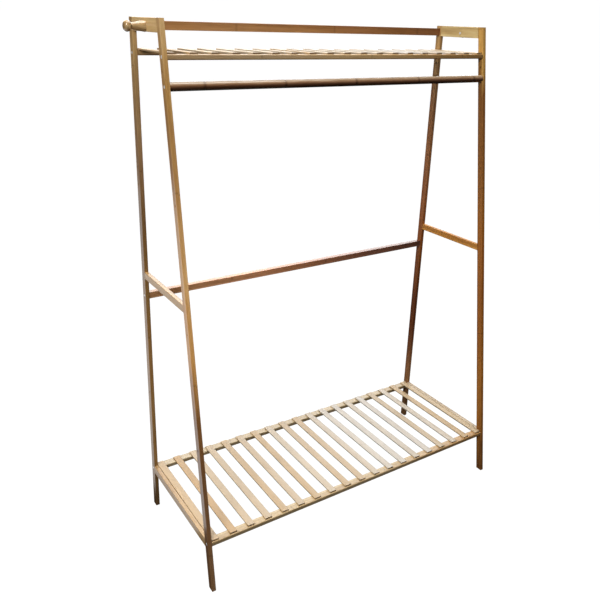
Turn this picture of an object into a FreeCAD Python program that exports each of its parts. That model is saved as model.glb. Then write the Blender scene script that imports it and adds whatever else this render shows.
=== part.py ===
import FreeCAD, Part
import os
import re
import Sketcher

# Clothes rack of bamboo: two side frames joined by a rod, two rear bars and two
# slatted shelves. Rear legs are upright, front legs lean back.
# Origin at the middle of the footprint on the floor, X across, Y towards the
# rear, Z up. All sizes in millimetres.

SIZES = [
    # the whole rack
    ("rack_width", 1184, "over the outer faces of the side frames"),
    ("rack_height", 1650, "floor to the tops of the legs"),
    ("base_depth", 480, "over the legs at the floor"),
    ("top_depth", 226, "over the legs at the top"),
    # side frames
    ("leg_thick", 13, "across the rack, shared by all side frame pieces"),
    ("leg_depth", 23.5, "front to back, on a level cut"),
    ("edge_round", 1, "rounding of long edges"),
    ("board_tall", 36.5, "board between the tops of the legs"),
    ("side_rail_top", 895, "top of the rail half way up"),
    ("side_rail_tall", 22.5, ""),
    ("base_rail_tall", 27, ""),
    # bars across the rear
    ("top_rail_drop", 9, "below the tops of the legs"),
    ("top_rail_tall", 25, ""),
    ("top_rail_thick", 12, ""),
    ("mid_bar_top", 823.5, ""),
    ("mid_bar_tall", 21.5, ""),
    ("mid_bar_thick", 19, ""),
    # hanging rod
    ("rod_height", 1481, "axis of the rod"),
    ("rod_dia", 24, ""),
    # shelves
    ("upper_base", 1547.5, "underside of the upper shelf's rails"),
    ("lower_base", 147.5, "underside of the lower shelf's rails"),
    ("shelf_rail_tall", 14.5, ""),
    ("shelf_rail_deep", 28, ""),
    ("shelf_rail_round", 3, "rounding of a shelf rail's long edges"),
    ("rail_inset", 1, "shelf rails behind the legs' outer faces"),
    ("slat_count", 19, "slats on each shelf"),
    ("slat_wide", 24, ""),
    ("slat_thick", 5, ""),
    ("slat_inset", 5, "slat ends behind the rails' outer faces"),
    ("slat_side_gap", 1.5, "outermost slats to the legs"),
    # spare holes that every leg has
    ("spare_high", 1518, ""),
    ("spare_mid", 1173, ""),
    ("spare_low", 460, ""),
    # bolts and the threaded inserts in the bars' ends
    ("bolt_dia", 5, ""),
    ("hole_gap", 0.25, "between a shank and its hole, all round"),
    ("head_dia", 9.5, ""),
    ("head_tall", 2.8, ""),
    ("head_round", 1.8, ""),
    ("head_sink", 2.6, "how far a head is let into its leg"),
    ("socket_width", 3, "across the corners of the hex socket"),
    ("socket_deep", 1.6, ""),
    ("insert_dia", 7.5, ""),
    ("insert_long", 18, ""),
    # coat pegs and their screws
    ("peg_drop", 22.5, "tops of the legs down to the pegs' axis"),
    ("peg_forward", 8, "pegs in front of the middle of their boards"),
    ("peg_long", 58.5, "out from the board"),
    ("peg_base_dia", 30, ""),
    ("peg_neck_dia", 16, ""),
    ("peg_knob_dia", 30, ""),
    ("peg_tip_dia", 10, "flat tip of the knob"),
    ("screw_dia", 4, ""),
    ("screw_bite", 22, "length inside the peg"),
    ("screw_head_dia", 8, ""),
    ("screw_head_tall", 2.4, ""),
]

doc = FreeCAD.newDocument("clothes_rack")
sheet = doc.addObject("Spreadsheet::Sheet", "Sheet")
for row, (alias, size, note) in enumerate(SIZES, start=1):
    sheet.set(f"A{row}", alias)
    sheet.set(f"B{row}", str(size))
    sheet.set(f"C{row}", note)
    sheet.setAlias(f"B{row}", alias)
doc.recompute()

# Heights and lengths that several pieces share, as expressions of the cells.
UPPER_BOLT = "(upper_base + shelf_rail_tall / 2)"
LOWER_BOLT = "(lower_base + shelf_rail_tall / 2)"
MID_BOLT = "(mid_bar_top - mid_bar_tall / 2)"
TOP_BOLT = "(rack_height - top_rail_drop - top_rail_tall / 2)"
INNER_SPAN = "(rack_width - 2 * leg_thick)"
SLAT_PITCH = f"(({INNER_SPAN} - 2 * slat_side_gap - slat_wide) / (slat_count - 1))"
PEG_RISE = "(rack_height - peg_drop)"


def bound(text):
    # Each alias in an expression is read from the sheet.
    return re.sub(r"[a-z]\w+", lambda word: "Sheet." + word.group(), text)


def size_of(text):
    return float(sheet.evalExpression(bound(text)))


def lean(height):
    # How far behind its foot the front leg's face is at a height.
    return f"((base_depth - top_depth) * {height} / rack_height)"


def front_axis(height):
    return f"(leg_depth / 2 + {lean(height)})"


REAR_AXIS = "(base_depth - leg_depth / 2)"


def place(item, x="0", y="0", z="0"):
    # y is counted from the rack's front edge at the floor.
    item.setExpression("Placement.Base.x", bound(x))
    item.setExpression("Placement.Base.y", bound(f"{y} - base_depth / 2"))
    item.setExpression("Placement.Base.z", bound(z))


def new_body(label):
    body = doc.addObject("PartDesign::Body", label)
    body.Label = label
    return body


def attach(body, feature, role, right="0", up="0", out="0"):
    plane = [item for item in body.Origin.OriginFeatures if item.Role == role][0]
    feature.AttachmentSupport = [(plane, "")]
    feature.MapMode = "FlatFace"
    feature.setExpression("AttachmentOffset.Base.x", bound(right))
    feature.setExpression("AttachmentOffset.Base.y", bound(up))
    feature.setExpression("AttachmentOffset.Base.z", bound(out))


def polygon_pad(body, role, corners, thick):
    # A closed outline whose corners are tied to the sheet, padded by thick.
    sketch = body.newObject("Sketcher::SketchObject", body.Label + "_outline")
    attach(body, sketch, role)
    points = [FreeCAD.Vector(size_of(x), size_of(y), 0) for x, y in corners]
    count = len(corners)
    for i in range(count):
        sketch.addGeometry(Part.LineSegment(points[i], points[(i + 1) % count]))
    for i in range(count):
        sketch.addConstraint(Sketcher.Constraint("Coincident", i, 2, (i + 1) % count, 1))
    for i, corner in enumerate(corners):
        for kind, text, value in zip(("DistanceX", "DistanceY"), corner, points[i]):
            where = sketch.addConstraint(Sketcher.Constraint(kind, -1, 1, i, 1, value))
            sketch.setExpression(f"Constraints[{where}]", bound(text))
    pad = body.newObject("PartDesign::Pad", body.Label + "_pad")
    pad.Profile = sketch
    pad.setExpression("Length", bound(thick))
    doc.recompute()
    return pad


def round_long_edges(body, solid, radius="edge_round"):
    edges = solid.Shape.Edges
    longest = max(edge.Length for edge in edges)
    names = [f"Edge{i}" for i, edge in enumerate(edges, start=1) if edge.Length > longest / 2]
    fillet = body.newObject("PartDesign::Fillet", body.Label + "_rounding")
    fillet.Base = (solid, names)
    fillet.setExpression("Radius", bound(radius))
    doc.recompute()


def cylinder(body, kind, radius, length, right="0", up="0", out="0"):
    # A cylinder along X inside a body, added to it or cut from it.
    part = body.newObject(f"PartDesign::{kind}Cylinder", body.Label + "_" + kind.lower())
    attach(body, part, "YZ_Plane", right, up, out)
    part.setExpression("Radius", bound(radius))
    part.setExpression("Height", bound(length))
    doc.recompute()
    return part


def check_cut(body, before, label):
    if body.Shape.Volume > before - 1:
        raise RuntimeError(f"{label}: a hole removed nothing")


# Side frames

def side_x(side):
    return "-rack_width / 2" if side == "left" else "rack_width / 2 - leg_thick"


FRONT_BOLTS = [UPPER_BOLT, "rod_height", LOWER_BOLT]
REAR_BOLTS = [TOP_BOLT, UPPER_BOLT, MID_BOLT, LOWER_BOLT]


def make_leg(side, end):
    body = new_body(f"{side}_{end}_leg")
    foot = "0" if end == "front" else "base_depth - leg_depth"
    head = lean("rack_height") if end == "front" else foot
    corners = [
        (foot, "0"),
        (foot + " + leg_depth", "0"),
        (head + " + leg_depth", "rack_height"),
        (head, "rack_height"),
    ]
    pad = polygon_pad(body, "YZ_Plane", corners, "leg_thick")
    round_long_edges(body, pad)
    heights = [UPPER_BOLT, "spare_high", "spare_mid", MID_BOLT, "spare_low", LOWER_BOLT]
    heights.append("rod_height" if end == "front" else TOP_BOLT)
    bolted = FRONT_BOLTS if end == "front" else REAR_BOLTS
    outer_face = "0" if side == "left" else "leg_thick - head_sink"
    for height in heights:
        across = front_axis(height) if end == "front" else REAR_AXIS
        before = body.Shape.Volume
        cylinder(body, "Subtractive", "bolt_dia / 2 + hole_gap", "leg_thick", across, height)
        check_cut(body, before, body.Label)
        if height in bolted:
            before = body.Shape.Volume
            cylinder(body, "Subtractive", "head_dia / 2 + hole_gap", "head_sink", across, height, outer_face)
            check_cut(body, before, body.Label)
    place(body, side_x(side))


def make_side_board(label, side, low, high):
    # A level board between the two legs of one side, its front end cut to the lean.
    body = new_body(f"{side}_{label}")
    corners = [
        (f"leg_depth + {lean(low)}", low),
        ("base_depth - leg_depth", low),
        ("base_depth - leg_depth", high),
        (f"leg_depth + {lean(high)}", high),
    ]
    pad = polygon_pad(body, "YZ_Plane", corners, "leg_thick")
    round_long_edges(body, pad)
    place(body, side_x(side))
    return body


PEG_ACROSS = f"(({lean('rack_height')} + base_depth) / 2 - peg_forward)"
BASE_RAIL_TOP = "(lower_base + shelf_rail_tall + slat_thick)"

for side in ("left", "right"):
    for end in ("front", "rear"):
        make_leg(side, end)
    board = make_side_board("top_board", side, "(rack_height - board_tall)", "rack_height")
    solid_volume = board.Shape.Volume
    cylinder(board, "Subtractive", "screw_dia / 2 + hole_gap", "leg_thick", PEG_ACROSS, PEG_RISE)
    check_cut(board, solid_volume, board.Label)
    make_side_board("side_rail", side, "(side_rail_top - side_rail_tall)", "side_rail_top")
    make_side_board("base_rail", side, f"({BASE_RAIL_TOP} - base_rail_tall)", BASE_RAIL_TOP)


# Bars across the rack

def bore_ends(body, across, up):
    # Blind bores for the threaded inserts, one in each end of a bar.
    for out in ("0", f"{INNER_SPAN} - insert_long"):
        before = body.Shape.Volume
        cylinder(body, "Subtractive", "insert_dia / 2", "insert_long", across, up, out)
        check_cut(body, before, body.Label)


def make_bar(label, deep, tall, y, z, bolt_y, bolt_z, radius="edge_round"):
    body = new_body(label)
    corners = [("0", "0"), (deep, "0"), (deep, tall), ("0", tall)]
    pad = polygon_pad(body, "YZ_Plane", corners, INNER_SPAN)
    round_long_edges(body, pad, radius)
    bore_ends(body, f"{bolt_y} - {y}", f"{bolt_z} - {z}")
    place(body, f"-{INNER_SPAN} / 2", y, z)


def make_rod():
    body = new_body("hanging_rod")
    cylinder(body, "Additive", "rod_dia / 2", INNER_SPAN)
    bore_ends(body, "0", "0")
    place(body, f"-{INNER_SPAN} / 2", front_axis("rod_height"), "rod_height")


make_bar("rear_top_rail", "top_rail_thick", "top_rail_tall",
         f"({REAR_AXIS} - top_rail_thick / 2)", f"({TOP_BOLT} - top_rail_tall / 2)",
         REAR_AXIS, TOP_BOLT)
make_bar("rear_mid_bar", "mid_bar_thick", "mid_bar_tall",
         f"({REAR_AXIS} - mid_bar_thick / 2)", "(mid_bar_top - mid_bar_tall)",
         REAR_AXIS, MID_BOLT)
make_rod()


# Shelves

def make_slat(label, index, front, rear, z):
    body = new_body(f"{label}_slat_{index + 1:02d}")
    length = f"({rear} - {front} - 2 * slat_inset)"
    corners = [("0", "0"), ("slat_wide", "0"), ("slat_wide", length), ("0", length)]
    pad = polygon_pad(body, "XY_Plane", corners, "slat_thick")
    round_long_edges(body, pad)
    place(body, f"-{INNER_SPAN} / 2 + slat_side_gap + {index} * {SLAT_PITCH}",
          f"({front} + slat_inset)", z)


def make_shelf(label, base, bolt_z):
    front = f"({lean(bolt_z)} + rail_inset)"
    rear = "(base_depth - rail_inset)"
    make_bar(f"{label}_front_rail", "shelf_rail_deep", "shelf_rail_tall",
             front, base, front_axis(bolt_z), bolt_z, "shelf_rail_round")
    make_bar(f"{label}_rear_rail", "shelf_rail_deep", "shelf_rail_tall",
             f"({rear} - shelf_rail_deep)", base, REAR_AXIS, bolt_z, "shelf_rail_round")
    for index in range(int(size_of("slat_count"))):
        make_slat(label, index, front, rear, f"({base} + shelf_rail_tall)")


make_shelf("upper", "upper_base", UPPER_BOLT)
make_shelf("lower", "lower_base", LOWER_BOLT)


# Coat pegs

def make_peg(side):
    # A turned cone with a knob, its base against the board's outer face.
    body = new_body(f"{side}_coat_peg")
    sketch = body.newObject("Sketcher::SketchObject", body.Label + "_profile")
    attach(body, sketch, "XZ_Plane")
    base = size_of("peg_base_dia / 2")
    neck = size_of("peg_neck_dia / 2")
    flat = size_of("peg_tip_dia / 2")
    rim = size_of("peg_knob_dia / 2") - flat
    tip = size_of("peg_long")
    join = tip - rim - (rim ** 2 - (neck - flat) ** 2) ** 0.5
    corners = [(0, 0), (0, base), (join, neck), (tip, flat), (tip, 0)]
    points = [FreeCAD.Vector(x, z, 0) for x, z in corners]
    top = FreeCAD.Vector(tip - rim, flat + rim, 0)
    sketch.addGeometry(Part.LineSegment(points[0], points[1]))
    sketch.addGeometry(Part.LineSegment(points[1], points[2]))
    sketch.addGeometry(Part.Arc(points[2], top, points[3]))
    sketch.addGeometry(Part.LineSegment(points[3], points[4]))
    sketch.addGeometry(Part.LineSegment(points[4], points[0]))
    # The arc runs anticlockwise, from the tip back to the neck.
    joints = [(0, 2, 1, 1), (1, 2, 2, 2), (2, 1, 3, 1), (3, 2, 4, 1), (4, 2, 0, 1), (0, 1, -1, 1)]
    for first, start, second, end in joints:
        sketch.addConstraint(Sketcher.Constraint("Coincident", first, start, second, end))
    sketch.addConstraint(Sketcher.Constraint("Vertical", 0))
    sketch.addConstraint(Sketcher.Constraint("Vertical", 3))
    sketch.addConstraint(Sketcher.Constraint("Horizontal", 4))
    sizes = [
        (Sketcher.Constraint("DistanceY", -1, 1, 0, 2, base), "peg_base_dia / 2"),
        (Sketcher.Constraint("DistanceY", -1, 1, 1, 2, neck), "peg_neck_dia / 2"),
        (Sketcher.Constraint("DistanceX", -1, 1, 3, 1, tip), "peg_long"),
        (Sketcher.Constraint("DistanceY", -1, 1, 3, 1, flat), "peg_tip_dia / 2"),
        (Sketcher.Constraint("DistanceY", -1, 1, 2, 3, flat), "peg_tip_dia / 2"),
        (Sketcher.Constraint("Radius", 2, rim), "(peg_knob_dia - peg_tip_dia) / 2"),
    ]
    for constraint, text in sizes:
        where = sketch.addConstraint(constraint)
        sketch.setExpression(f"Constraints[{where}]", bound(text))
    turned = body.newObject("PartDesign::Revolution", body.Label + "_turned")
    turned.Profile = sketch
    turned.ReferenceAxis = (sketch, ["H_Axis"])
    turned.Angle = 360
    doc.recompute()
    before = body.Shape.Volume
    cylinder(body, "Subtractive", "screw_dia / 2", "screw_bite")
    check_cut(body, before, body.Label)
    if side == "left":
        body.Placement.Rotation = FreeCAD.Rotation(FreeCAD.Vector(0, 0, 1), 180)
    place(body, "-rack_width / 2" if side == "left" else "rack_width / 2", PEG_ACROSS, PEG_RISE)


for side in ("left", "right"):
    make_peg(side)


# Fasteners: one master of each kind, linked to every place it is used

def make_group(label, master, spots):
    # Each spot is (side, x, y, z); the master points to +X, turned round on the right.
    copies = []
    for side, x, y, z in spots:
        copy = doc.addObject("App::Link", f"{label}_{len(copies) + 1:02d}")
        copy.LinkedObject = master
        if side == "right":
            copy.Placement.Rotation = FreeCAD.Rotation(FreeCAD.Vector(0, 0, 1), 180)
        place(copy, x, y, z)
        copies.append(copy)
    group = doc.addObject("Part::Compound", label)
    group.Links = copies
    group.Label = label
    return group


def make_bolt():
    # Button head outside, its seat at X = 0, the shank towards +X.
    body = new_body("bolt_master")
    head = cylinder(body, "Additive", "head_dia / 2", "head_tall", out="-head_tall")
    rim = [f"Edge{i}" for i, edge in enumerate(head.Shape.Edges, start=1)
           if edge.BoundBox.XMax < -size_of("head_tall") / 2]
    dome = body.newObject("PartDesign::Fillet", "bolt_dome")
    dome.Base = (head, rim)
    dome.setExpression("Radius", bound("head_round"))
    doc.recompute()
    cylinder(body, "Additive", "bolt_dia / 2", "leg_thick - head_sink + insert_long")
    before = body.Shape.Volume
    socket = body.newObject("PartDesign::SubtractivePrism", "bolt_socket")
    attach(body, socket, "YZ_Plane", out="-head_tall")
    socket.Polygon = 6
    socket.setExpression("Circumradius", bound("socket_width / 2"))
    socket.setExpression("Height", bound("socket_deep"))
    doc.recompute()
    if body.Shape.Volume >= before:
        raise RuntimeError("bolt: the socket removed nothing")
    return body


def make_insert():
    body = new_body("insert_master")
    cylinder(body, "Additive", "insert_dia / 2", "insert_long")
    before = body.Shape.Volume
    cylinder(body, "Subtractive", "bolt_dia / 2", "insert_long")
    check_cut(body, before, body.Label)
    return body


def make_screw():
    # Pan head at X = 0 on the board's inner face, the shank towards +X.
    body = new_body("screw_master")
    cylinder(body, "Additive", "screw_head_dia / 2", "screw_head_tall", out="-screw_head_tall")
    cylinder(body, "Additive", "screw_dia / 2", "leg_thick + screw_bite")
    return body


def bolt_spots(inset):
    # Every bolted joint, at a distance inwards from the side frame's outer face.
    spots = []
    for side, x in (("left", f"-rack_width / 2 + {inset}"), ("right", f"rack_width / 2 - {inset}")):
        spots += [(side, x, front_axis(height), height) for height in FRONT_BOLTS]
        spots += [(side, x, REAR_AXIS, height) for height in REAR_BOLTS]
    return spots


make_group("frame_bolts", make_bolt(), bolt_spots("head_sink"))
make_group("threaded_inserts", make_insert(), bolt_spots("leg_thick"))
# A peg's screw points outwards, the other way round from a bolt.
make_group("peg_screws", make_screw(), [
    ("right", "-rack_width / 2 + leg_thick", PEG_ACROSS, PEG_RISE),
    ("left", "rack_width / 2 - leg_thick", PEG_ACROSS, PEG_RISE),
])
doc.recompute()


def finished():
    # The pieces to write: every body but the masters, and the fastener groups.
    for item in doc.Objects:
        if item.TypeId == "PartDesign::Body" and not item.Label.endswith("_master"):
            yield item
        if item.TypeId == "Part::Compound":
            yield item


for item in doc.Objects:
    if "Invalid" in item.State or "Error" in item.State:
        raise RuntimeError(f"{item.Label} failed: {item.State}")
for item in finished():
    if item.Shape.isNull() or not item.Shape.isValid():
        raise RuntimeError(f"{item.Label} has no valid shape")

os.makedirs("parts", exist_ok=True)
for item in finished():
    item.Shape.exportStep(f"parts/{item.Label}.step")
print("written", len(list(finished())), "parts")
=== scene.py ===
import math

import bpy
from mathutils import Matrix, Vector


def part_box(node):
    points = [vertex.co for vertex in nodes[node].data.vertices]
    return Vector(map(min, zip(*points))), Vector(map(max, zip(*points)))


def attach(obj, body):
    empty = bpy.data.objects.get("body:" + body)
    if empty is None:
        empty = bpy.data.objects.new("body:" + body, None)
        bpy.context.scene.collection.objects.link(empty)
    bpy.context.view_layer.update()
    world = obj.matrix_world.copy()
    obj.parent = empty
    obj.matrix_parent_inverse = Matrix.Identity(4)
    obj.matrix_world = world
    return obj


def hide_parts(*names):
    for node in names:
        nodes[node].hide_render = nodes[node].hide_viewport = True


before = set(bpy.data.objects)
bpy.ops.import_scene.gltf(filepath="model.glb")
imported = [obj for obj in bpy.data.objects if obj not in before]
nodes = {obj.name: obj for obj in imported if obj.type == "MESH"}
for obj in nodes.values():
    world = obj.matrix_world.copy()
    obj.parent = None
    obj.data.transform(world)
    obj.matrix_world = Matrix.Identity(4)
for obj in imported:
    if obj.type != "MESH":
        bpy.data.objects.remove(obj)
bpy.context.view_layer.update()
print("frame loaded:", len(nodes), "nodes")


# shader building

class Wire:
    # a socket that takes part in sums, so that patterns read as formulas
    def __init__(self, paint, socket):
        self.paint = paint
        self.socket = socket

    def maths(self, operation, first, second=None):
        values = {0: first} if second is None else {0: first, 1: second}
        return self.paint.node("ShaderNodeMath", {"operation": operation}, values)

    def __add__(self, other):
        return self.maths("ADD", self, other)

    def __radd__(self, other):
        return self.maths("ADD", other, self)

    def __sub__(self, other):
        return self.maths("SUBTRACT", self, other)

    def __rsub__(self, other):
        return self.maths("SUBTRACT", other, self)

    def __mul__(self, other):
        return self.maths("MULTIPLY", self, other)

    def __rmul__(self, other):
        return self.maths("MULTIPLY", other, self)

    def __truediv__(self, other):
        return self.maths("DIVIDE", self, other)

    def floor(self):
        return self.maths("FLOOR", self)

    def fract(self):
        return self.maths("FRACT", self)

    def size(self):
        return self.maths("ABSOLUTE", self)


class Paint:
    # the nodes of one material or of the sky
    def __init__(self, owner):
        owner.use_nodes = True
        self.owner = owner
        self.tree = owner.node_tree
        self.tree.nodes.clear()

    def node(self, kind, settings=None, sockets=None, output=0):
        made = self.tree.nodes.new(kind)
        for key, value in (settings or {}).items():
            if key == "stops":
                ramp = made.color_ramp.elements
                ramp.remove(ramp[-1])
                ramp[0].position = value[0][0]
                ramp[0].color = (*value[0][1], 1)
                for place, colour in value[1:]:
                    ramp.new(place).color = (*colour, 1)
            else:
                setattr(made, key, value)
        for key, value in (sockets or {}).items():
            if isinstance(value, Wire):
                self.tree.links.new(value.socket, made.inputs[key])
            elif isinstance(value, tuple) and made.inputs[key].type == "RGBA":
                made.inputs[key].default_value = (*value, 1)
            else:
                made.inputs[key].default_value = value
        return Wire(self, made.outputs[output]) if made.outputs else None

    def finish(self, shader, kind="Material"):
        self.node(f"ShaderNodeOutput{kind}", None, {0: shader})
        return self.owner


def newPaint(name):
    return Paint(bpy.data.materials.new(name))


def mixColour(paint, factor, first, second, blend="MIX"):
    settings = {"data_type": "RGBA", "blend_type": blend}
    return paint.node("ShaderNodeMix", settings, {0: factor, 6: first, 7: second}, output=2)


# bamboo: laminated strips with fibres, nodes, darker edges and end grain

bamboo = {
    "stripWidth": 0.0118,       # glued strips across the face of a board
    "stripContrast": 0.3,
    # patterns: how often they change per metre along, across and through a board,
    # then their detail and a shift that keeps them apart
    "fibre": ((7.0, 620.0, 620.0), 3.0, 0.0),
    "fine": ((26.0, 2100.0, 2100.0), 2.0, 5.0),
    "mottle": ((9.0, 80.0, 80.0), 2.0, 9.0),
    "lengthwise": ((1.9, 3.0, 3.0), 1.0, 21.0),
    "dots": ((900.0, 900.0, 900.0), 1.0, 13.0),
    "fibreContrast": 0.3,
    "fineContrast": 0.2,
    "mottleContrast": 0.45,
    "lengthContrast": 0.35,
    "tintContrast": 0.5,        # between repeated pieces
    "tintShift": 7.0,           # how far apart repeated pieces are in the pattern
    "toneBlur": 0.12,           # how far the mottle moves the steps of a tone
    # what half the tone is multiplied by, from the darkest strips to the palest
    "grades": ((0.2, (0.3, 0.25, 0.21)), (0.5, (0.5, 0.5, 0.5)), (0.8, (0.64, 0.71, 0.85))),
    "dark": (0.6, 0.5, 0.42),   # the tone is multiplied by these at nodes, sides and ends; at the sides this is painted shade
    "darker": (0.3, 0.25, 0.21),
    "nodeSpacing": 0.39,
    "nodeAt": 0.1,              # where one node sits along the grain
    "nodeStagger": 0.02,
    "nodeWidth": 0.004,
    "nodeStrength": 0.4,
    "endStrength": 0.85,
    "paintedSideShade": 0.0,        # painted shade: how much darker the sides are than the faces
    "sideFacing": (0.6, 0.95),  # a face counts as a side or an end between these cosines
    "endFacing": (0.7, 0.95),
    "roughness": 0.36,
    "roughnessSwing": 0.12,
    "coat": 0.35,
    "coatRoughness": 0.16,
    "bump": 0.2,
    "bumpDepth": 0.0004,
    "ior": 1.5,
}


def bambooMaterial(name, tone, grain, across, seed, tintName=None, endTone=None, **changes):
    # tone is one colour, or (direction, start, end, stops)
    # grain is the direction of the fibres, and across that of the glued strips' widths
    look = {**bamboo, **changes}
    grain = Vector(grain).normalized()
    across = Vector(across).normalized()
    through = grain.cross(across)
    # the seed moves the patterns, the glued strips and the strips' shades
    patternShift, stripShift, shadeShift = seed * 3.1, seed * 0.37, seed * 1.7
    paint = newPaint(name)
    place = paint.node("ShaderNodeTexCoord", None, None, output=3)
    facing = paint.node("ShaderNodeTexCoord", None, None, output=1)

    def along(direction, vector=place):
        settings = {"operation": "DOT_PRODUCT"}
        return paint.node("ShaderNodeVectorMath", settings, {0: vector, 1: direction}, output=1)

    def noise(pattern):
        (alongScale, acrossScale, throughScale), detail, shift = look[pattern]
        point = paint.node("ShaderNodeCombineXYZ", None, {
            0: u * alongScale + (patternShift + shift), 1: v * acrossScale, 2: w * throughScale,
        })
        return paint.node("ShaderNodeTexNoise", {"noise_dimensions": "3D"},
                          {"Vector": point, "Scale": 1.0, "Detail": detail, "Roughness": 0.55})

    def ramped(value, start, end, low=0.0, high=1.0):
        return paint.node("ShaderNodeMapRange", {"interpolation_type": "SMOOTHSTEP"},
                          {0: value, 1: start, 2: end, 3: low, 4: high})

    u, v, w = along(grain), along(across), along(through)
    if tintName:
        # every repeated piece carries its own number, which moves and tints its pattern
        tint = paint.node("ShaderNodeAttribute", {"attribute_name": tintName}, None, output=2)
        u = u + tint * look["tintShift"]
    # each glued strip has a number, and by it a chance shade of its own
    row = (v / look["stripWidth"] + stripShift).floor()
    layer = (w / look["stripWidth"] + 0.5).floor()
    strip = row + layer * 7.0
    chance = paint.node("ShaderNodeTexWhiteNoise", {"noise_dimensions": "2D"},
                        {"Vector": paint.node("ShaderNodeCombineXYZ", None, {0: strip, 1: shadeShift})})
    fibre = noise("fibre")
    fine = noise("fine")
    mottle = noise("mottle")
    lengthwise = noise("lengthwise")
    shade = (0.5 + (chance - 0.5) * look["stripContrast"] + (fibre - 0.5) * look["fibreContrast"]
             + (fine - 0.5) * look["fineContrast"] + (mottle - 0.5) * look["mottleContrast"]
             + (lengthwise - 0.5) * look["lengthContrast"])
    if tintName:
        shade = shade + (tint - 0.5) * look["tintContrast"]
    middle = tone
    if len(tone) == 4:
        # the tone changes along a direction
        direction, start, end, stops = tone
        distance = (along(direction) - start) / (end - start) + (mottle - 0.5) * look["toneBlur"]
        middle = paint.node("ShaderNodeValToRGB", {"stops": stops}, {0: distance})
    grade = paint.node("ShaderNodeValToRGB", {"stops": look["grades"]}, {0: shade})
    half = mixColour(paint, 1.0, grade, middle, "MULTIPLY")
    colour = paint.node("ShaderNodeVectorMath", {"operation": "SCALE"}, {0: half, 3: 2.0})
    dark = mixColour(paint, 1.0, look["dark"], middle, "MULTIPLY")
    darker = mixColour(paint, 1.0, look["darker"], middle, "MULTIPLY")
    # a node is a narrow dark band, not quite level from strip to strip
    spacing = look["nodeSpacing"]
    shifted = u + (chance - 0.5) * look["nodeStagger"] - look["nodeAt"]
    fromNode = ((shifted / spacing + 0.5).fract() - 0.5).size() * spacing
    band = ramped(fromNode, 0.0, look["nodeWidth"], 1.0, 0.0)
    colour = mixColour(paint, band * look["nodeStrength"], colour, darker)
    # painted shade: faces that look across the strips, such as a rail's front and back or a slat's sides,
    # are darkened
    if look["paintedSideShade"]:
        side = ramped(along(across, facing).size(), *look["sideFacing"])
        colour = mixColour(paint, side * look["paintedSideShade"], colour, darker)
    # cut ends are darker, with the fibres seen as dots
    end = ramped(along(grain, facing).size(), *look["endFacing"])
    dots = noise("dots")
    endColour = mixColour(paint, dots, endTone or darker, endTone or dark)
    colour = mixColour(paint, end * look["endStrength"], colour, endColour)
    rough = look["roughness"] + (fibre - 0.5) * look["roughnessSwing"]
    # fibres stand up a little, and nodes sink in
    relief = fibre * 0.6 + fine * 0.4 - band * 0.5
    bump = paint.node("ShaderNodeBump", None,
                      {"Strength": look["bump"], "Distance": look["bumpDepth"], "Height": relief})
    shader = paint.node("ShaderNodeBsdfPrincipled", None, {
        "Base Color": colour, "Roughness": rough, "Normal": bump, "IOR": look["ior"],
        "Coat Weight": look["coat"], "Coat Roughness": look["coatRoughness"],
    })
    return paint.finish(shader)


def dress(node, material):
    mesh = nodes[node].data
    mesh.materials.clear()
    mesh.materials.append(material)


# side frames: legs and the boards between them

sideFrames = {
    # piece: (tone on the left, on the right)
    "top_board": ((0.58, 0.36, 0.135), (0.58, 0.42, 0.18)),
    "side_rail": ((0.45, 0.25, 0.085), (0.62, 0.26, 0.04)),
    "base_rail": ((0.54, 0.34, 0.15), (0.60, 0.47, 0.32)),
    # height of one node in each leg, and from it to the next
    "nodeHeights": {"left_front_leg": 1.211, "left_rear_leg": 1.226,
                    "right_front_leg": 1.106, "right_rear_leg": 1.116},
    "legNodeSpacing": 0.55,
    # changes to the bamboo, and more of them on the right frame, which is less glossy
    "changes": {"top_board": {"nodeStrength": 0.0, "mottleContrast": 0.7}, "base_rail": {"coat": 0.15}},
    "matt": {"coat": 0.05, "roughness": 0.5, "ior": 1.35},
    "seed": 1.3,
    "seedStep": 2.3,
}

# tone of each leg from the floor to the top, as fractions of its height: the bamboo's own tone with
# painted light and shade, paler towards the top, darker towards the floor and darker under the upper
# shelf where its shadow falls
legTonesWithPaintedShade = {
    "left_front_leg": (
        (0.0, (0.26, 0.135, 0.057)), (0.2, (0.22, 0.10, 0.035)), (0.33, (0.26, 0.11, 0.03)),
        (0.45, (0.67, 0.32, 0.085)), (0.58, (0.74, 0.41, 0.145)), (0.77, (0.48, 0.25, 0.08)),
        (0.88, (0.43, 0.225, 0.06)), (1.0, (0.55, 0.335, 0.13))),
    "left_rear_leg": (
        (0.0, (0.14, 0.075, 0.03)), (0.1, (0.24, 0.12, 0.03)), (0.35, (0.37, 0.185, 0.055)),
        (0.5, (0.30, 0.15, 0.04)), (0.65, (0.20, 0.095, 0.028)), (0.75, (0.30, 0.16, 0.065)),
        (1.0, (0.46, 0.28, 0.10))),
    "right_front_leg": (
        (0.0, (0.18, 0.07, 0.018)), (0.12, (0.38, 0.145, 0.022)), (0.25, (0.38, 0.135, 0.018)),
        (0.4, (0.34, 0.105, 0.01)), (0.55, (0.345, 0.107, 0.01)), (0.72, (0.25, 0.088, 0.012)),
        (0.87, (0.24, 0.09, 0.014)), (0.95, (0.51, 0.27, 0.06))),
    "right_rear_leg": (
        (0.0, (0.26, 0.13, 0.05)), (0.15, (0.32, 0.145, 0.06)), (0.25, (0.16, 0.045, 0.01)),
        (0.35, (0.15, 0.04, 0.008)), (0.5, (0.30, 0.085, 0.012)), (0.65, (0.33, 0.118, 0.035)),
        (0.85, (0.37, 0.17, 0.065)), (1.0, (0.53, 0.33, 0.125))),
}


def woodName(node):
    return f"{node} bamboo".replace("_", " ").title().replace(" ", "")


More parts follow.
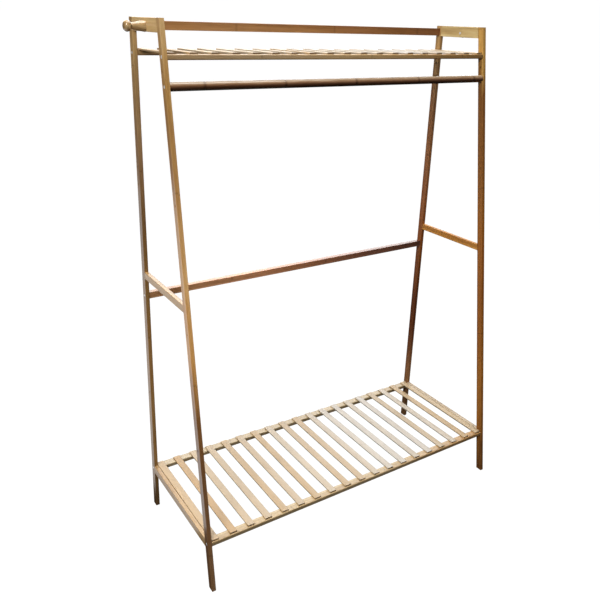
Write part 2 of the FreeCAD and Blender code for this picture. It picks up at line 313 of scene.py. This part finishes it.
def legGrain(leg):
    # the direction of a leg, and a point on its axis at the floor
    low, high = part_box(leg)
    uprightLow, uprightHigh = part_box(leg.replace("front", "rear"))
    depth = uprightHigh.y - uprightLow.y
    direction = Vector((0, high.y - low.y - depth, high.z - low.z)).normalized()
    return direction, Vector(((low.x + high.x) / 2, low.y + depth / 2, low.z))


for number, side in enumerate(("left", "right")):
    for seed, part in enumerate(("front_leg", "rear_leg", "top_board", "side_rail", "base_rail")):
        node = f"{side}_{part}"
        changes = dict(sideFrames["changes"].get(part, {}))
        grain, across = (0, 1, 0), (0, 0, 1)
        if "leg" in part:
            grain, foot = legGrain(node)
            across = (1, 0, 0)
            start = foot.dot(grain)
            height = (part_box(node)[1].z - foot.z) / grain.z
            tone = (grain, start, start + height, legTonesWithPaintedShade[node])
            changes = {"nodeAt": start + sideFrames["nodeHeights"][node] / grain.z,
                       "nodeSpacing": sideFrames["legNodeSpacing"]}
        else:
            tone = sideFrames[part][number]
        if side == "right":
            changes.update(sideFrames["matt"])
        patternSeed = sideFrames["seed"] + seed * sideFrames["seedStep"] + number
        dress(node, bambooMaterial(woodName(node), tone, grain, across, patternSeed, **changes))
print("side frames dressed")


# bars across the rack

barLow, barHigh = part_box("rear_top_rail")
rodLow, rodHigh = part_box("hanging_rod")


def endToEnd(*stops):
    # tones from the left end of a bar to its right end
    return ((1, 0, 0), barLow.x, barHigh.x, stops)


bars = {
    # piece: tone, across the grain, changes to the bamboo
    "rear_top_rail": (
        endToEnd((0.0, (0.37, 0.175, 0.055)), (0.3, (0.46, 0.235, 0.09)), (0.5, (0.44, 0.21, 0.07)),
                 (0.65, (0.37, 0.16, 0.05)), (0.8, (0.27, 0.11, 0.03)), (1.0, (0.2, 0.07, 0.02))),
        (0, 0, 1), {"nodeSpacing": 0.366, "nodeStagger": 0.0, "nodeAt": 0.103, "nodeStrength": 0.35,
                    "nodeWidth": 0.007}),
    "rear_mid_bar": (
        endToEnd((0.0, (0.48, 0.24, 0.10)), (0.2, (0.75, 0.36, 0.17)), (0.35, (0.80, 0.37, 0.18)),
                 (0.5, (0.62, 0.27, 0.13)), (0.65, (0.40, 0.17, 0.09)), (0.8, (0.27, 0.115, 0.07)),
                 (1.0, (0.17, 0.07, 0.04))),
        (0, 0, 1), {}),
    "upper_front_rail": (
        endToEnd((0.0, (0.33, 0.19, 0.075)), (0.25, (0.42, 0.27, 0.13)), (0.45, (0.47, 0.29, 0.125)),
                 (0.65, (0.46, 0.27, 0.10)), (0.8, (0.37, 0.20, 0.065)), (1.0, (0.30, 0.155, 0.045))),
        (0, 1, 0), {}),
    "upper_rear_rail": ((0.40, 0.23, 0.09), (0, 1, 0), {}),
    # painted shade on the two lower rails: their front and back faces are darkened against their tops
    "lower_front_rail": (
        endToEnd((0.0, (0.55, 0.39, 0.19)), (0.6, (0.56, 0.41, 0.22)), (1.0, (0.52, 0.29, 0.10))),
        (0, 1, 0), {"paintedSideShade": 0.5}),
    "lower_rear_rail": ((0.50, 0.37, 0.20), (0, 1, 0), {"paintedSideShade": 0.25}),
    # painted shade and highlight: the rod's tones go from a near-black underside to a pale top, as light
    # from above would leave them
    "hanging_rod": (
        ((0, 0, 1), rodLow.z, rodHigh.z, (
            (0.0, (0.015, 0.006, 0.003)), (0.4, (0.085, 0.032, 0.012)), (0.6, (0.19, 0.082, 0.033)),
            (0.8, (0.34, 0.20, 0.10)), (1.0, (0.50, 0.38, 0.25)))),
        (0, 0, 1), {"nodeSpacing": 0.254, "nodeStagger": 0.004, "nodeAt": 0.029, "nodeStrength": 0.6,
                    "nodeWidth": 0.008, "roughness": 0.25, "coat": 0.7}),
}

firstSeed, seedStep = 2.2, 1.9
for number, (name, (tone, across, changes)) in enumerate(bars.items()):
    patternSeed = firstSeed + number * seedStep
    dress(name, bambooMaterial(woodName(name), tone, (1, 0, 0), across, patternSeed, **changes))
print("bars dressed")


# slats: one row of rounded boards for each shelf, made by a node tree

slatRow = {
    "rounding": 0.001,
    "roundingSteps": 3,
    "smoothBelow": 50,      # degrees between faces that are shaded as one
    "tintSeed": 11,
    # painted sheen: the slats are painted whitest right of the middle, where the coat's reflection
    # brightens them
    "tones": endToEnd((0.0, (0.56, 0.38, 0.20)), (0.2, (0.56, 0.43, 0.28)), (0.5, (0.58, 0.46, 0.32)),
                      (0.72, (0.60, 0.54, 0.46)), (0.85, (0.58, 0.49, 0.38)), (1.0, (0.58, 0.43, 0.25))),
    "patternSeed": 8.8,
    "look": {
        "endTone": (0.24, 0.155, 0.085),
        "toneBlur": 0.0,
        "tintContrast": 0.7,
        "grades": ((0.2, (0.47, 0.42, 0.34)), (0.5, (0.5, 0.5, 0.5)), (0.8, (0.52, 0.54, 0.57))),
        "stripContrast": 0.06,
        "fibreContrast": 0.12,
        "fineContrast": 0.06,
        "mottleContrast": 0.2,
        "nodeSpacing": 0.31,
        "nodeStrength": 0.15,
        "endStrength": 1.0,
        # painted shade: the slats' long sides are darkened against their tops
        "paintedSideShade": 0.12,
        "bump": 0.0,
        "roughness": 0.42,
        "coat": 0.2,
        "ior": 1.4,
    },
}
slatInputs = {"Count": "Int", "Start": "Vector", "Pitch": "Float", "Width": "Float", "Thickness": "Float",
              "Length": "Float", "Rounding": "Float", "Seed": "Int"}


def slatTree(material):
    tree = bpy.data.node_groups.new("slatRow", "GeometryNodeTree")
    tree.interface.new_socket("Geometry", in_out="OUTPUT", socket_type="NodeSocketGeometry")
    for label, kind in slatInputs.items():
        tree.interface.new_socket(label, in_out="INPUT", socket_type="NodeSocket" + kind)

    def add(kind, sockets=None, **settings):
        made = tree.nodes.new(kind)
        for key, value in settings.items():
            setattr(made, key, value)
        for key, value in (sockets or {}).items():
            if isinstance(value, bpy.types.NodeSocket):
                tree.links.new(value, made.inputs[key])
            else:
                made.inputs[key].default_value = value
        return made.outputs

    sizes = add("NodeGroupInput")
    # one slat: a rounded outline drawn out along its length
    section = add("GeometryNodeCurvePrimitiveQuadrilateral",
                  {"Width": sizes["Width"], "Height": sizes["Thickness"]})[0]
    rounded = add("GeometryNodeFilletCurve", {
        "Curve": section, "Radius": sizes["Rounding"], "Count": slatRow["roundingSteps"],
    }, mode="POLY")[0]
    end = add("ShaderNodeCombineXYZ", {1: sizes["Length"]})[0]
    line = add("GeometryNodeCurvePrimitiveLine", {"Start": (0, 0, 0), "End": end})[0]
    slat = add("GeometryNodeCurveToMesh", {"Curve": line, "Profile Curve": rounded, "Fill Caps": True})[0]
    # a row of them across the rack, each with a tint of its own
    step = add("ShaderNodeCombineXYZ", {0: sizes["Pitch"]})[0]
    spots = add("GeometryNodeMeshLine", {
        "Count": sizes["Count"], "Start Location": sizes["Start"], "Offset": step,
    }, mode="OFFSET")[0]
    copies = add("GeometryNodeInstanceOnPoints", {"Points": spots, "Instance": slat})[0]
    chance = add("FunctionNodeRandomValue", {"Seed": sizes["Seed"]}, data_type="FLOAT")["Value"]
    marked = add("GeometryNodeStoreNamedAttribute", {
        "Geometry": copies, "Name": "slatTint", "Value": chance,
    }, data_type="FLOAT", domain="INSTANCE")[0]
    solid = add("GeometryNodeRealizeInstances", {0: marked})[0]
    painted = add("GeometryNodeSetMaterial", {"Geometry": solid, "Material": material})[0]
    add("NodeGroupOutput", {0: painted})
    return tree


def runTree(name, tree, values):
    # a plain mesh object made by a tree with these inputs
    holder = bpy.data.objects.new(name, bpy.data.meshes.new(name))
    bpy.context.scene.collection.objects.link(holder)
    modifier = holder.modifiers.new(name, "NODES")
    modifier.node_group = tree
    for item in tree.interface.items_tree:
        if item.in_out == "INPUT" and item.name in values:
            modifier[item.identifier] = values[item.name]
    bpy.context.view_layer.update()
    grown = holder.evaluated_get(bpy.context.evaluated_depsgraph_get())
    mesh = bpy.data.meshes.new_from_object(grown)
    holder.modifiers.clear()
    holder.data = mesh
    return holder


slatBamboo = bambooMaterial("slatBamboo", slatRow["tones"], (0, 1, 0), (1, 0, 0), slatRow["patternSeed"],
                            tintName="slatTint", **slatRow["look"])
slats = slatTree(slatBamboo)
for seed, shelf in enumerate(("upper", "lower")):
    row = sorted(name for name in nodes if name.startswith(f"{shelf}_slat_"))
    low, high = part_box(row[0])
    lastLow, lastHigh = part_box(row[-1])
    piece = runTree(f"{shelf}Slats", slats, {
        "Count": len(row),
        "Start": ((low.x + high.x) / 2, low.y, (low.z + high.z) / 2),
        "Pitch": (lastLow.x - low.x) / (len(row) - 1),
        "Width": high.x - low.x,
        "Thickness": high.z - low.z,
        "Length": high.y - low.y,
        "Rounding": slatRow["rounding"],
        "Seed": slatRow["tintSeed"] + seed,
    })
    piece.data.shade_smooth()
    piece.data.set_sharp_from_angle(angle=math.radians(slatRow["smoothBelow"]))
    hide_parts(*row)
    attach(piece, "root")
print("slats laid")


# fasteners: zinc-plated steel

fasteners = {
    "nodes": ("frame_bolts", "threaded_inserts", "peg_screws"),
    "colour": (0.9, 0.9, 0.9),
    "grainShade": 0.85,         # the darkest specks of the plating
    "grainScale": 900.0,
    "metallic": 0.4,
    "roughness": 0.3,
    "roughnessSwing": 0.15,
}


def zincMaterial():
    paint = newPaint("zincSteel")
    place = paint.node("ShaderNodeTexCoord", None, None, output=3)
    grain = paint.node("ShaderNodeTexNoise", None,
                       {"Vector": place, "Scale": fasteners["grainScale"], "Detail": 3.0})
    pale = fasteners["colour"]
    colour = mixColour(paint, grain, tuple(part * fasteners["grainShade"] for part in pale), pale)
    rough = fasteners["roughness"] + (grain - 0.5) * fasteners["roughnessSwing"]
    shader = paint.node("ShaderNodeBsdfPrincipled", None, {
        "Base Color": colour, "Metallic": fasteners["metallic"], "Roughness": rough,
    })
    return paint.finish(shader)


zinc = zincMaterial()
for name in fasteners["nodes"]:
    dress(name, zinc)


# turned pegs, more finely sanded and glossier than the boards

pegs = {
    "tone": (0.42, 0.27, 0.115),
    "seed": 9.5,
    "look": {"nodeStrength": 0.0, "stripWidth": 0.008, "endStrength": 0.4, "roughness": 0.22,
             "roughnessSwing": 0.06, "coat": 0.7},
}

for number, side in enumerate(("left", "right")):
    dress(f"{side}_coat_peg", bambooMaterial(
        f"{side}PegBamboo", pegs["tone"], (1, 0, 0), (0, 0, 1), pegs["seed"] + number, **pegs["look"]))
print("fasteners and pegs dressed")


# floor, light and camera

studio = {
    "floorRadius": 9.0,
    "coveRadius": 5.0,      # the floor curves up into the backdrop
    "coveSteps": 8,
    "wallHeight": 14.0,
    "sides": 64,
    "floorGlow": 1.0,
    "floorColour": (0.06, 0.06, 0.06),
    "skyFloor": (-0.7, 0.01),   # height of a direction, and the light from there and below
    "skyTop": (0.8, 0.22),      # the same, from there and above
    "lights": {
        # name: place, aim, width, height, watts, lights matt surfaces too
        "key": ((-2.85, -1.85, 3.2), (0.0, 0.0, 0.8), 1.6, 1.6, 106.0, True),
        "ceiling": ((0.0, 0.3, 5.0), (0.0, 0.3, 0.0), 4.0, 2.8, 205.0, True),
        "backWall": ((2.4, 4.5, 3.9), (2.4, 0.0, 3.9), 7.2, 3.2, 276.0, False),
        "paleGround": ((-2.08, 2.4, 0.02), (-2.08, 2.4, 5.0), 2.92, 4.8, 46.0, False),
    },
}


def backdrop():
    # a pale floor that curves up into a wall all round
    profile = [(0.0, 0.0), (studio["floorRadius"], 0.0)]
    for step in range(1, studio["coveSteps"] + 1):
        angle = math.pi / 2 * step / studio["coveSteps"]
        profile.append((studio["floorRadius"] + studio["coveRadius"] * math.sin(angle),
                        studio["coveRadius"] * (1 - math.cos(angle))))
    profile.append((profile[-1][0], studio["wallHeight"]))
    around = studio["sides"]
    points = [(0.0, 0.0, 0.0)]
    faces = []
    for radius, height in profile[1:]:
        for turn in range(around):
            angle = 2 * math.pi * turn / around
            points.append((radius * math.cos(angle), radius * math.sin(angle), height))
    for turn in range(around):
        after = (turn + 1) % around
        faces.append((0, 1 + turn, 1 + after))
        for ring in range(len(profile) - 2):
            low, high = 1 + ring * around, 1 + (ring + 1) * around
            faces.append((low + turn, high + turn, high + after, low + after))
    mesh = bpy.data.meshes.new("backdrop")
    mesh.from_pydata(points, [], faces)
    mesh.shade_smooth()
    piece = bpy.data.objects.new("backdrop", mesh)
    bpy.context.scene.collection.objects.link(piece)
    paint = newPaint("paleFloor")
    matt = paint.node("ShaderNodeBsdfDiffuse", None, {"Color": studio["floorColour"]})
    glow = paint.node("ShaderNodeEmission", None,
                      {"Color": (1.0, 1.0, 1.0), "Strength": studio["floorGlow"]})
    mesh.materials.append(paint.finish(paint.node("ShaderNodeAddShader", None, {0: matt, 1: glow})))
    # the sky and lights reach the rack as if the backdrop weren't there
    piece.visible_diffuse = False
    piece.visible_glossy = False
    piece.visible_shadow = False


def studioSky():
    world = bpy.data.worlds.new("studio")
    bpy.context.scene.world = world
    paint = Paint(world)
    direction = paint.node("ShaderNodeTexCoord")
    height = paint.node("ShaderNodeSeparateXYZ", None, {0: direction}, output=2)
    lowest, lowLight = studio["skyFloor"]
    highest, highLight = studio["skyTop"]
    strength = paint.node("ShaderNodeMapRange", {"interpolation_type": "SMOOTHSTEP"},
                          {0: height, 1: lowest, 2: highest, 3: lowLight, 4: highLight})
    paint.finish(paint.node("ShaderNodeBackground", None, {"Strength": strength}), "World")


def softLight(name, place, aim, width, height, power, onMatt):
    data = bpy.data.lights.new(name, "AREA")
    data.shape = "RECTANGLE"
    data.size = width
    data.size_y = height
    data.energy = power
    light = bpy.data.objects.new(name, data)
    light.location = place
    light.rotation_euler = (Vector(aim) - Vector(place)).to_track_quat("-Z", "Y").to_euler()
    light.visible_camera = False
    light.visible_diffuse = onMatt
    bpy.context.scene.collection.objects.link(light)


camera = {
    "place": (-1.2796, -1.7070, 1.6568),
    "heading": 33.437,      # degrees from the rear towards the right
    "tilt": -19.944,
    "roll": 1.843,
    "lens": 40.576,
    "filmWidth": 36.0,
    "shift": (0.0007, -0.0586),
    "farEnd": 200.0,
}


def studioCamera():
    data = bpy.data.cameras.new("camera")
    data.lens = camera["lens"]
    data.sensor_width = camera["filmWidth"]
    data.shift_x, data.shift_y = camera["shift"]
    data.clip_end = camera["farEnd"]
    eye = bpy.data.objects.new("camera", data)
    turn = (Matrix.Rotation(math.radians(-camera["heading"]), 4, "Z")
            @ Matrix.Rotation(math.radians(90 + camera["tilt"]), 4, "X")
            @ Matrix.Rotation(math.radians(camera["roll"]), 4, "Z"))
    eye.matrix_world = Matrix.Translation(camera["place"]) @ turn
    bpy.context.scene.collection.objects.link(eye)
    bpy.context.scene.camera = eye


backdrop()
studioSky()
for name, setup in studio["lights"].items():
    softLight(name, *setup)
studioCamera()
bpy.context.scene.view_settings.view_transform = "Standard"
print("studio set")
